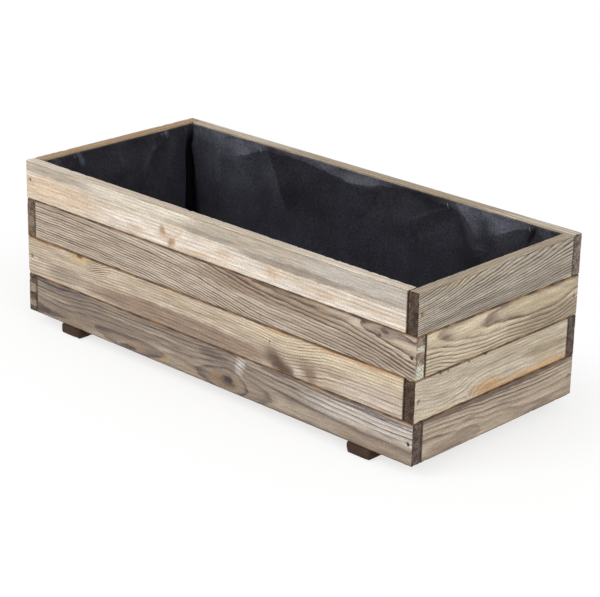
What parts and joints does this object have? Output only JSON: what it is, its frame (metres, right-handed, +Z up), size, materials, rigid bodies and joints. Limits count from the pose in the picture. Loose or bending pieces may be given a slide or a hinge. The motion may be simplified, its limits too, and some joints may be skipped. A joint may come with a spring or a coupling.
{
  "type": "window box planter",
  "caption": "Long rectangular window box of stacked weathered pine boards with interlocked butt corners, on two foot battens, lined with black planting felt.",
  "frame": {"origin": "on the ground plane under the middle of the box, at the underside of the feet", "axes": "+X along the length to the right, the front wall on the -Y side, +Z up"},
  "size_m": [0.9, 0.4, 0.3],
  "materials": {
    "wall_timber": "planed pine, weathered to a grey-brown stain, matt",
    "foot_timber": "dark brown treated pine, sawn, matt",
    "inner_timber": "bare sawn pine, matt",
    "nail_steel": "dull rusted wire nail",
    "felt": "black non-woven planting felt with a faint sheen"
  },
  "bodies": {
    "root": {"front_board_1": "wall_timber", "right_board_1": "wall_timber", "back_board_1": "wall_timber", "left_board_1": "wall_timber", "front_board_2": "wall_timber", "right_board_2": "wall_timber", "back_board_2": "wall_timber", "left_board_2": "wall_timber", "front_board_3": "wall_timber", "right_board_3": "wall_timber", "back_board_3": "wall_timber", "left_board_3": "wall_timber", "front_board_4": "wall_timber", "right_board_4": "wall_timber", "back_board_4": "wall_timber", "left_board_4": "wall_timber", "left_foot": "foot_timber", "right_foot": "foot_timber", "floor_board_1": "inner_timber", "floor_board_2": "inner_timber", "floor_board_3": "inner_timber", "front_upright": "inner_timber", "back_upright": "inner_timber", "liner": "felt", "corner_nail_front_1": "nail_steel", "corner_nail_right_1": "nail_steel", "corner_nail_back_1": "nail_steel", "corner_nail_left_1": "nail_steel", "corner_nail_front_2": "nail_steel", "corner_nail_right_2": "nail_steel", "corner_nail_back_2": "nail_steel", "corner_nail_left_2": "nail_steel", "corner_nail_front_3": "nail_steel", "corner_nail_right_3": "nail_steel", "corner_nail_back_3": "nail_steel", "corner_nail_left_3": "nail_steel", "corner_nail_front_4": "nail_steel", "corner_nail_right_4": "nail_steel", "corner_nail_back_4": "nail_steel", "corner_nail_left_4": "nail_steel", "upright_nail_front_1": "nail_steel", "upright_nail_front_2": "nail_steel", "upright_nail_front_3": "nail_steel", "upright_nail_front_4": "nail_steel", "upright_nail_back_1": "nail_steel", "upright_nail_back_2": "nail_steel", "upright_nail_back_3": "nail_steel", "upright_nail_back_4": "nail_steel", "foot_nail_front_left": "nail_steel", "foot_nail_front_right": "nail_steel", "foot_nail_back_left": "nail_steel", "foot_nail_back_right": "nail_steel", "floor_nail_1_left": "nail_steel", "floor_nail_1_right": "nail_steel", "floor_nail_2_left": "nail_steel", "floor_nail_2_right": "nail_steel", "floor_nail_3_left": "nail_steel", "floor_nail_3_right": "nail_steel"}
  },
  "joints": []
}
